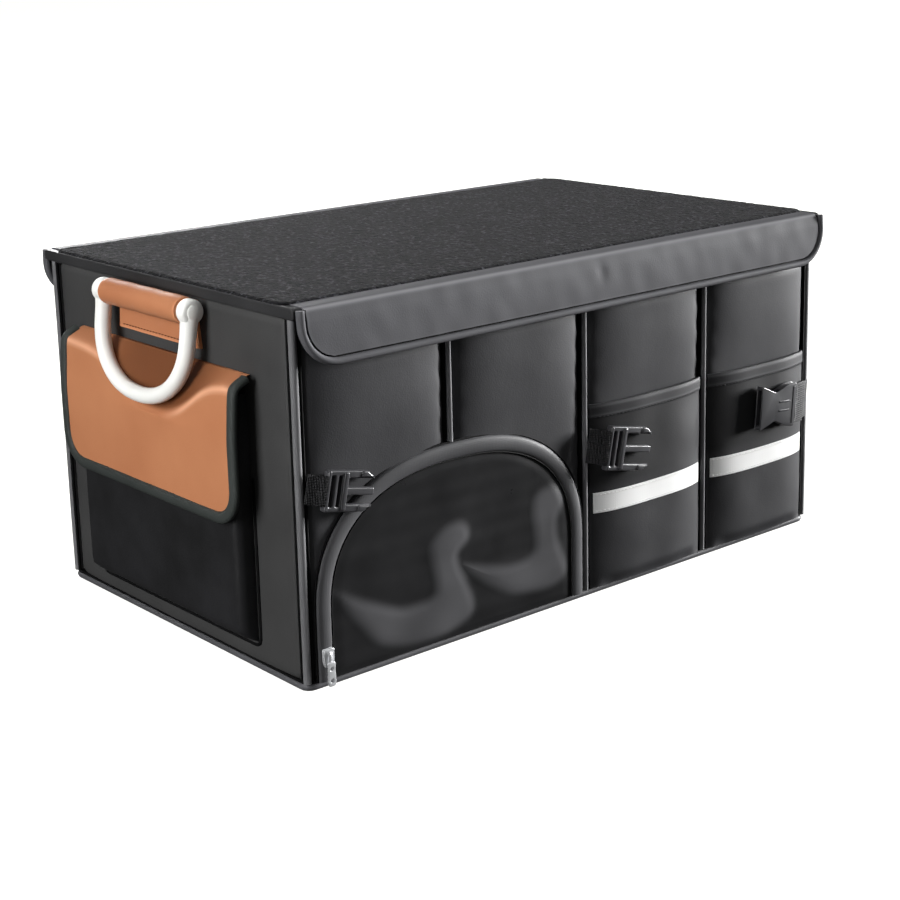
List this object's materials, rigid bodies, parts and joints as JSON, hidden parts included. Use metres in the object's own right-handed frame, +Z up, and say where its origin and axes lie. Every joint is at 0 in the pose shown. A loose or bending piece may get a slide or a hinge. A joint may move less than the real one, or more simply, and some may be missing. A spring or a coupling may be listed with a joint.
{
  "type": "car trunk organizer",
  "caption": "Padded leatherette car trunk organizer box with a hinged lid, a zipped arch window, front pockets, a flapped side pocket and a carrying handle on each end.",
  "frame": {"origin": "middle of the underside of the box, on the surface it stands on", "axes": "+Z up, +X along the box towards its right end, -Y towards the front with the window and pockets"},
  "size_m": [0.6112, 0.3705, 0.285],
  "materials": {
    "leatherette": "satin",
    "carpet": "matte",
    "piping": "satin",
    "cloth": "matte",
    "webbing": "matte",
    "window": "gloss",
    "tan_leather": "satin",
    "handle_plastic": "satin",
    "reflective": "satin",
    "buckle_plastic": "satin",
    "steel": "polished"
  },
  "bodies": {
    "root": {"front_wall": "leatherette", "back_wall": "leatherette", "left_wall": "leatherette", "right_wall": "leatherette", "back_skirt": "leatherette", "back_skirt_binding": "leatherette", "base_piping": "piping", "corner_piping_front_left": "piping", "corner_piping_front_right": "piping", "corner_piping_back_left": "piping", "corner_piping_back_right": "piping", "front_piping_1": "piping", "front_piping_2": "piping", "front_piping_3": "piping", "back_piping_1": "piping", "back_piping_2": "piping", "back_piping_3": "piping", "zip_band": "piping", "floor_panel": "cloth", "floor_board": "cloth", "divider_1": "cloth", "divider_2": "cloth", "hook_patch_left": "cloth", "hook_patch_right": "cloth", "front_pocket_1": "cloth", "front_pocket_2": "cloth", "side_pocket": "cloth", "webbing_1": "webbing", "webbing_2": "webbing", "webbing_3": "webbing", "window_film": "window", "handle_tab_left": "tan_leather", "handle_tab_right": "tan_leather", "flap_shoulder": "tan_leather", "reflective_strip_1": "reflective", "reflective_strip_2": "reflective", "buckle_plug_1": "buckle_plastic", "buckle_plug_2": "buckle_plastic", "buckle_socket": "buckle_plastic", "handle_rod_left": "steel", "handle_rod_right": "steel"},
    "lid": {"lid_panel": "leatherette", "lid_carpet": "carpet", "lid_binding_left": "piping", "lid_binding_right": "piping"},
    "skirt": {"front_skirt": "leatherette", "front_skirt_binding": "leatherette", "loop_patch_left": "cloth", "loop_patch_right": "cloth"},
    "left_handle": {"handle_left": "handle_plastic"},
    "right_handle": {"handle_right": "handle_plastic"},
    "flap": {"flap_face": "tan_leather", "flap_binding": "cloth"},
    "slider": {"zip_slider": "steel"},
    "puller": {"zip_puller": "steel"}
  },
  "joints": [
    {"name": "lid_hinge", "type": "hinge", "parent": "root", "child": "lid", "pos_m": [0, 0.17615, 0.28335], "axis": [-1, 0, 0], "range_deg": [0, 175]},
    {"name": "skirt_hinge", "type": "hinge", "parent": "lid", "child": "skirt", "pos_m": [0, -0.17615, 0.2832], "axis": [-1, 0, 0], "range_deg": [0, 90]},
    {"name": "left_handle_hinge", "type": "hinge", "parent": "root", "child": "left_handle", "pos_m": [-0.292, 0, 0.267], "axis": [0, 1, 0], "range_deg": [0, 170]},
    {"name": "right_handle_hinge", "type": "hinge", "parent": "root", "child": "right_handle", "pos_m": [0.292, 0, 0.267], "axis": [0, -1, 0], "range_deg": [0, 175]},
    {"name": "flap_hinge", "type": "hinge", "parent": "root", "child": "flap", "pos_m": [-0.3013, 0, 0.183], "axis": [0, 1, 0], "range_deg": [0, 90]},
    {"name": "zip_slide", "type": "slide", "parent": "root", "child": "slider", "axis": [0, 0, 1], "range_m": [0, 0.022]},
    {"name": "puller_hinge", "type": "hinge", "parent": "slider", "child": "puller", "pos_m": [-0.26325, -0.17725, 0.0231], "axis": [-1, 0, 0], "range_deg": [0, 90]}
  ]
}
